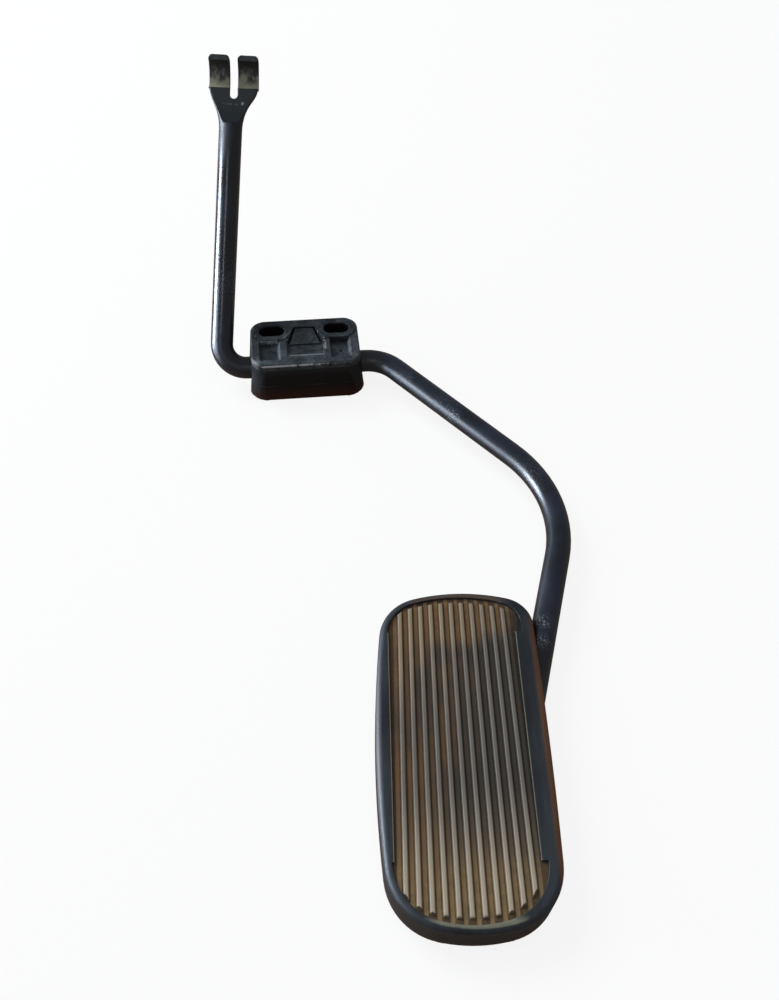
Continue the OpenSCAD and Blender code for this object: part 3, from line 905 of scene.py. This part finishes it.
@dataclass(frozen=True)
class Outline:
    """The pad's outline in its own frame, in millimetres: four corner arcs joined by long arcs.

    The corners' radii run from the upper right one round to the left. The bows say how far the
    upper, left, lower and right arcs swell beyond their ends.
    """

    width: float = 60.6
    length: float = 123.6
    corners: Four = (12.0, 17.5, 21.5, 21.0)
    bows: Four = (2.0, 2.0, 0.9, 0.6)

    def centres(self, width: float) -> np.ndarray:
        """Centres of the corner arcs, from the upper right one round to the left.

        Args:
            width: width of the outline.

        Returns:
            Four points, one a row.
        """
        (tr, tl, bl, br), (top, left, low, right) = self.corners, self.bows
        half, tall = width / 2, self.length / 2
        points = [(half - right - tr, tall - top - tr), (left + tl - half, tall - top - tl)]
        points += [(left + bl - half, low + bl - tall), (half - right - br, low + br - tall)]
        return np.array(points)

    @staticmethod
    def between(first: np.ndarray, last: np.ndarray, x: np.ndarray, y: np.ndarray) -> np.ndarray:
        """Whether points as seen from a hub lie between two directions: both cross products agree.

        Args:
            first: the direction at which the arc starts.
            last: the direction at which it ends, counter-clockwise from the first.
            x: x of the points from the hub.
            y: y of the points from the hub.

        Returns:
            True for each point between them.
        """
        return (first[0] * y - first[1] * x >= 0) & (x * last[1] - y * last[0] >= 0)

    def depth(self, x: np.ndarray, y: np.ndarray, width: float) -> np.ndarray:
        """Distance inward from the outline.

        An arc of radius R about o gives R less the distance to o, for the points that lie
        between the directions of its two ends. The smallest of these distances counts. A long
        arc's radius is that of the chord between its corners' centres with the arc's bow, which
        is the chord's square over 8 bows plus half the bow, plus the larger corner's radius.

        Args:
            x: x of the points.
            y: y of the points.
            width: width of the outline, whose right side is kept where the left one stays.

        Returns:
            The depth of each point, negative outside.
        """
        x = x - (width - self.width) / 2
        centres = self.centres(width)
        hubs = []
        depth = np.full(x.shape, np.inf)
        for k in range(4):
            j = (k + 1) % 4
            gap = centres[j] - centres[k]
            span = float(np.hypot(*gap))
            along = gap / span
            bow = self.bows[k]
            radius = span**2 / (8 * bow) + bow / 2 + max(self.corners[k], self.corners[j])
            near, far = radius - self.corners[k], radius - self.corners[j]
            reach = (near**2 - far**2 + span**2) / (2 * span)
            rise = math.sqrt(near**2 - reach**2)
            hub = centres[k] + reach * along + rise * np.array([-along[1], along[0]])
            hubs.append(hub)
            dx, dy = x - hub[0], y - hub[1]
            inside = self.between(centres[k] - hub, centres[j] - hub, dx, dy)
            depth = np.where(inside, np.minimum(depth, radius - np.hypot(dx, dy)), depth)
        for k in range(4):
            dx, dy = x - centres[k][0], y - centres[k][1]
            inside = self.between(centres[k] - hubs[k - 1], centres[k] - hubs[k], dx, dy)
            depth = np.where(inside, np.minimum(depth, self.corners[k] - np.hypot(dx, dy)), depth)
        return depth


@dataclass(frozen=True)
class Tread:
    """The ribbed face as one skin over the pad's recess, with rounded ribs, in millimetres.

    The floor is the height of the grooves and the rise that of the ribs over them; the top and the
    foot are a rib's widths there. Skin, proud, wider and end_longer say how far this stands out
    from the solid's own grooves and ribs, so that it covers them.
    """

    outline: Outline = Outline()
    floor: float = 13.5
    rise: float = 1.2
    proud: float = 0.05
    skin: float = 0.03
    top: float = 1.1
    foot: float = 2.0
    wider: float = 0.08
    rounding: float = 0.3
    end_inset: float = 4.8
    end_shift: float = 2.2
    end_longer: float = 0.25
    rim: float = 2.7
    rim_extra: float = 2.3
    shoulder_y: float = 2.2
    shoulder_half: float = 42.0
    tuck: float = 0.7
    thickness: float = 0.35
    column_places: tuple[float, ...] = (0.0, 0.3, 0.46, 0.56, 0.66, 0.78, 0.92, 1.04, 1.16, 1.5)
    row_reach: Four = (-60.0, -36.0, 38.0, 60.4)
    row_fine: float = 0.36
    row_coarse: float = 2.0

    def columns(self) -> np.ndarray:
        """Grid columns: the places on both sides of each rib, and one in each groove.

        Returns:
            The columns in rib steps, in rising order.
        """
        half = np.array(self.column_places) / RIBS.pitch
        unit = np.concatenate([-half[:0:-1], half])
        reach = RIBS.count // 2 + 1
        steps = np.concatenate([k + unit for k in range(-reach, reach + 1)])
        return np.sort(np.concatenate([steps, np.arange(-reach, reach) + 0.5]))

    def rows(self) -> np.ndarray:
        """Grid rows: closer together near the rounded ends than between them.

        Returns:
            The rows in millimetres, in rising order.
        """
        start, low, high, end = self.row_reach
        ends = [np.arange(start, low, self.row_fine), np.arange(high, end, self.row_fine)]
        return np.concatenate([ends[0], np.arange(low, high, self.row_coarse), ends[1]])

    def depth(self, x: np.ndarray, y: np.ndarray) -> np.ndarray:
        """Distance inward from the edge of the recess: the inset outline less both shoulders.

        Args:
            x: x of the points.
            y: y of the points.

        Returns:
            The distance, negative under the rim and the shoulders.
        """
        past = np.abs(y - self.shoulder_y) - self.shoulder_half
        left, right = RIBS.shoulders
        depth = self.outline.depth(x, y, self.outline.width - self.rim_extra) - self.rim
        sides = np.minimum(np.maximum(x - left, past), np.maximum(right - x, past))
        return np.minimum(depth, sides)

    def height(self, step: np.ndarray, x: np.ndarray, y: np.ndarray) -> np.ndarray:
        """Height over the pad's foot.

        A rib stands where both the distance inward from its sloping side and from its end are
        past zero. The smaller of the two times the slope of the side, rounded off over the
        rounding, gives how far it has risen, up to the rib's full height.

        Args:
            step: the points across, in rib steps.
            x: x of the points.
            y: y of the points.

        Returns:
            The height of each point.
        """
        number = np.round(step)
        lateral = np.abs(step - number) * RIBS.pitch
        slope = 2 * self.rise / (self.foot - self.top)
        side = (self.foot / 2 + self.wider - lateral) * slope
        inward = self.outline.depth(x + self.end_shift, y, self.outline.width)
        end = (inward - self.end_inset + self.end_longer) * slope
        wanted = np.where(np.abs(number) <= RIBS.count // 2, np.minimum(side, end), -1.0)
        full = self.rise + self.proud
        over = np.clip((wanted - full + self.rounding) / (3 * self.rounding), 0.0, 1.0)
        bend = full - self.rounding + self.rounding * (1 - (1 - over) ** 2)
        up = np.where(wanted < full - self.rounding, wanted, bend)
        return self.floor + self.skin + np.where(up < 0, 0.0, up)

    def build(self, material: bpy.types.Material) -> bpy.types.Object:
        """Makes the skin on a grid whose columns follow the fanned ribs.

        A point at step s and height y has x = s times the pitch, less the ribs' shift, less y
        times the tangent of the rib's turn. Cells beyond the recess by the tuck are left out, so
        that the skin's edge is hidden inside the rim.

        Args:
            material: the finish.

        Returns:
            The piece, which rides on the pedal.
        """
        step, y = np.meshgrid(self.columns(), self.rows())
        x = step * RIBS.pitch - RIBS.shift - y * np.tan(np.radians(RIBS.fan) * step)
        z = self.height(step, x, y)
        kept = self.depth(x, y) > -self.tuck
        number = np.arange(x.size).reshape(x.shape)
        whole = kept[:-1, :-1] & kept[1:, :-1] & kept[:-1, 1:] & kept[1:, 1:]
        corners = [number[:-1, :-1], number[:-1, 1:], number[1:, 1:], number[1:, :-1]]
        faces = np.stack([corner[whole] for corner in corners], axis=-1)
        used, faces = np.unique(faces, return_inverse=True)
        local = np.stack([x.ravel(), y.ravel(), z.ravel()], axis=-1)[used] * MM
        mesh = bpy.data.meshes.new("tread")
        mesh.from_pydata(PAD.out(local).tolist(), [], faces.reshape(-1, 4).tolist())
        piece = dressed("tread", mesh, material)
        wall = piece.modifiers.new("wall", "SOLIDIFY")
        wall.thickness = self.thickness * MM
        wall.offset = -1.0
        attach(piece, "pedal")
        LOG.info("tread of %d faces", len(mesh.polygons))
        return piece


@dataclass(frozen=True)
class Softened:
    """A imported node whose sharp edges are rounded, as moulding, pressing or wear leaves them.

    Edges that turn by more than sharp stay creased in the shading. Those that stand out and turn
    by round_from or more are rounded, where the faces on both sides are wider than narrow.
    """

    node: str
    body: str
    slot: str
    radius: float
    segments: int = 3
    sharp: float = math.radians(32.0)
    round_from: float = math.radians(50.0)
    narrow: float = 0.05 * MM
    shortest: float = 1e-9
    digits: int = 6

    def merged(self) -> bpy.types.Mesh:
        """A mesh of the node's triangles that share their points, without the node's normals.

        Points nearer than a micron become one: each is rounded to a micron and counted once.

        Returns:
            The new mesh.
        """
        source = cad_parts[self.node].data
        points = np.empty(3 * len(source.vertices), dtype=np.float32)
        source.vertices.foreach_get("co", points)
        corners = np.empty(len(source.loops), dtype=np.int32)
        source.loops.foreach_get("vertex_index", corners)
        points = points.reshape(-1, 3).astype(np.float64)
        rounded = np.round(points, self.digits)
        _, first, same = np.unique(rounded, axis=0, return_index=True, return_inverse=True)
        triangles = same.ravel()[corners].reshape(-1, 3)
        a, b, c = triangles.T
        triangles = triangles[(a != b) & (b != c) & (c != a)]
        mesh = bpy.data.meshes.new(f"{self.node}_soft")
        mesh.from_pydata(points[first].tolist(), [], triangles.tolist())
        return mesh

    def wide(self, edge: bmesh.types.BMEdge) -> bool:
        """Whether the faces on both sides of an edge are wide enough to round it.

        A triangle's width across an edge is twice its area over the edge's length.

        Args:
            edge: the edge.

        Returns:
            True where they are.
        """
        length = max(edge.calc_length(), self.shortest)
        return all(2 * face.calc_area() / length > self.narrow for face in edge.link_faces)

    def build(self, material: bpy.types.Material) -> bpy.types.Object:
        """Merges a copy of the node's triangles and rounds the sharp edges between them.

        Args:
            material: the finish.

        Returns:
            The piece, which rides on the node's body and stands for the node.
        """
        mesh = self.merged()
        shape = bmesh.new()
        shape.from_mesh(mesh)
        weight = shape.edges.layers.float.new("bevel_weight_edge")
        for edge in shape.edges:
            turn = edge.calc_face_angle(0.0)
            edge.smooth = turn < self.sharp
            if turn >= self.round_from and edge.is_convex and self.wide(edge):
                edge[weight] = 1.0
        shape.to_mesh(mesh)
        shape.free()
        piece = dressed(f"{self.node}_soft", mesh, material)
        rounding = piece.modifiers.new("rounding", "BEVEL")
        rounding.width = self.radius
        rounding.segments = self.segments
        rounding.limit_method = "WEIGHT"
        rounding.use_clamp_overlap = False
        even = piece.modifiers.new("even", "WEIGHTED_NORMAL")
        even.mode = "FACE_AREA_WITH_ANGLE"
        even.keep_sharp = True
        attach(piece, self.body)
        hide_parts(self.node)
        LOG.info("softened %s by %.2f mm", self.node, self.radius / MM)
        return piece


class Reach(Enum):
    """What a lamp lights: only the gloss of a surface, or only its matt colour."""

    GLOSS = "gloss"
    SOFT = "soft"


@dataclass(frozen=True)
class Lamp:
    """A soft rectangular lamp of the studio."""

    name: str
    place: Triple
    aim: Triple
    size: Pair
    watts: float
    colour: Triple
    reach: Reach

    def build(self) -> bpy.types.Object:
        """Sets up the lamp at its place, turned to its aim.

        Returns:
            The lamp, which the camera doesn't see.
        """
        data = bpy.data.lights.new(self.name, "AREA")
        data.shape = "RECTANGLE"
        data.size, data.size_y = self.size
        data.energy = self.watts
        data.color = self.colour
        lamp = placed(self.name, data)
        lamp.location = self.place
        toward = Vector(self.aim) - Vector(self.place)
        lamp.rotation_euler = toward.to_track_quat("-Z", "Y").to_euler()
        lamp.visible_camera = False
        lamp.visible_diffuse = self.reach is Reach.SOFT
        lamp.visible_glossy = self.reach is Reach.GLOSS
        return lamp


BLUE_SKY = (0.72, 0.84, 1.0)
PALE_SKY = (0.84, 0.92, 1.0)
COOL_WHITE = (0.93, 0.97, 1.0)
LAMPS = (
    Lamp(
        "key",
        place=(-0.9, 0.9, 1.2),
        aim=(0.03, -0.1, 0.0),
        size=(0.9, 0.9),
        watts=25.0,
        colour=COOL_WHITE,
        reach=Reach.SOFT,
    ),
    Lamp(
        "overhead",
        place=(0.1, 0.3, 1.7),
        aim=(0.03, -0.1, 0.0),
        size=(1.0, 1.0),
        watts=5.0,
        colour=(0.97, 0.98, 1.0),
        reach=Reach.SOFT,
    ),
    Lamp(
        "window",
        place=(-0.9, 0.08, 0.15),
        aim=(0.0, -0.02, 0.04),
        size=(0.3, 0.35),
        watts=24.0,
        colour=BLUE_SKY,
        reach=Reach.GLOSS,
    ),
    Lamp(
        "window_low",
        place=(-0.9, -0.35, 0.15),
        aim=(0.05, -0.12, 0.02),
        size=(0.3, 0.5),
        watts=7.0,
        colour=BLUE_SKY,
        reach=Reach.GLOSS,
    ),
    Lamp(
        "window_back",
        place=(-0.68, 0.77, 0.1),
        aim=(0.08, -0.15, 0.01),
        size=(0.3, 0.25),
        watts=2.5,
        colour=BLUE_SKY,
        reach=Reach.GLOSS,
    ),
    Lamp(
        "window_wash",
        place=(-0.9, -0.05, 0.2),
        aim=(0.03, -0.08, 0.02),
        size=(0.3, 0.7),
        watts=5.0,
        colour=PALE_SKY,
        reach=Reach.SOFT,
    ),
    Lamp(
        "ceiling",
        place=(-0.33, -0.87, 0.98),
        aim=(-0.03, 0.03, 0.07),
        size=(0.12, 0.5),
        watts=1.2,
        colour=(0.9, 0.95, 1.0),
        reach=Reach.GLOSS,
    ),
    Lamp(
        "warm",
        place=(0.8, -0.7, 0.25),
        aim=(0.03, -0.1, 0.02),
        size=(0.5, 0.5),
        watts=0.7,
        colour=(1.0, 0.56, 0.28),
        reach=Reach.SOFT,
    ),
)


@dataclass(frozen=True)
class Studio:
    """Floor, lamps, world and camera.

    The camera sees the floor as the background's white, less the share that takes the shadow.
    The part sees warm brown ground in its place, with a little white in its gloss, so that the
    black finishes stay deep.
    """

    floor_half: float = 6.0
    floor_z: float = -0.0003
    paper: Triple = (0.8, 0.8, 0.8)
    ground: Triple = (0.24, 0.15, 0.095)
    ground_rough: float = 0.25
    daylight: float = 0.28
    background: float = 1.0
    shade: float = 0.13
    mirrored: float = 0.08
    film: float = 36.0
    lens: float = 36.0
    nearest: float = 0.01
    shift: Pair = (-0.0005, 0.0005)
    eye: Triple = (-0.00704, -0.340323, 0.338293)
    right: Triple = (0.993553, -0.109723, 0.028503)
    up: Triple = (0.07025, 0.793239, 0.604844)
    back: Triple = (-0.088975, -0.598943, 0.795833)
    lamps: tuple[Lamp, ...] = LAMPS

    def floor(self) -> bpy.types.Object:
        """A flat pale floor that keeps the shadow and reads as white from the camera.

        Returns:
            The floor, which is no piece of the part.
        """
        half, z = self.floor_half, self.floor_z
        corners = [(-half, -half, z), (half, -half, z), (half, half, z), (-half, half, z)]
        mesh = bpy.data.meshes.new("floor")
        mesh.from_pydata(corners, [], [(0, 1, 2, 3)])
        floor = placed("floor", mesh)
        g = Graph(bpy.data.materials.new("floor_white"))
        path = g.node("ShaderNodeLightPath").outputs
        seen = Wire(g, path["Is Camera Ray"]) + Wire(g, path["Is Transmission Ray"])
        mirrored = Wire(g, path["Is Glossy Ray"]) * self.mirrored
        paper = g.first("ShaderNodeBsdfDiffuse", None, {"Color": self.paper})
        ground = g.first(
            "ShaderNodeBsdfPrincipled",
            None,
            {"Base Color": self.ground, "Roughness": self.ground_rough},
        )
        white = g.first(
            "ShaderNodeEmission", None, {"Color": (1.0, 1.0, 1.0), "Strength": self.background}
        )
        share = seen * (1.0 - self.shade) + mirrored
        both = g.joined(share, g.joined(seen, ground, paper), white)
        g.node("ShaderNodeOutputMaterial", None, {"Surface": both})
        mesh.materials.append(g.owner)
        return floor

    def world(self) -> None:
        """Soft light from all round, and the background where the camera looks past the floor."""
        bpy.context.scene.world = bpy.data.worlds.new("studio")
        g = Graph(bpy.context.scene.world)
        camera = Wire(g, g.node("ShaderNodeLightPath").outputs["Is Camera Ray"])
        soft, white = (
            g.first("ShaderNodeBackground", None, {"Color": colour, "Strength": strength})
            for colour, strength in ((COOL_WHITE, self.daylight), (self.paper, self.background))
        )
        g.node("ShaderNodeOutputWorld", None, {"Surface": g.joined(camera, soft, white)})

    def camera(self) -> None:
        """The camera of the view: its axes are the columns of its matrix."""
        data = bpy.data.cameras.new("camera")
        data.sensor_width = self.film
        data.lens = self.lens
        data.clip_start = self.nearest
        data.shift_x, data.shift_y = self.shift
        camera = placed("camera", data)
        axes = Matrix((self.right, self.up, self.back)).transposed().to_4x4()
        camera.matrix_world = Matrix.Translation(self.eye) @ axes
        bpy.context.scene.camera = camera

    def build(self) -> None:
        """Sets up the whole studio and the plain view of colours."""
        self.camera()
        self.floor()
        self.world()
        for lamp in self.lamps:
            lamp.build()
        bpy.context.scene.view_settings.view_transform = "Standard"


@dataclass(frozen=True)
class Pedal:
    """The whole part: the bar with its pad, and the block with its clip."""

    bar: Softened = Softened("pedal_bar", "pedal", "bar_paint", 0.35 * MM)
    pad: Softened = Softened("foot_pad", "pedal", "pad_rubber", 0.22 * MM)
    block: Softened = Softened("bearing_housing", "bearing_block", "block_plastic", 0.3 * MM)
    clip: Softened = Softened("retaining_clip", "bearing_block", "clip_plastic", 0.25 * MM)

    def build(self) -> None:
        """Builds each piece with its finish."""
        self.bar.build(BarPaint().build())
        self.pad.build(PadRubber().build())
        Tread().build(TreadDust().build())
        self.block.build(BlockPlastic("block_plastic_satin").build())
        self.clip.build(BlockPlastic("clip_plastic_satin").build())


def main() -> None:
    """Builds the studio and dresses the part, in order."""
    logging.basicConfig(level=logging.INFO, format="%(name)s: %(message)s")
    Studio().build()
    Pedal().build()


if __name__ == "__main__":
    main()
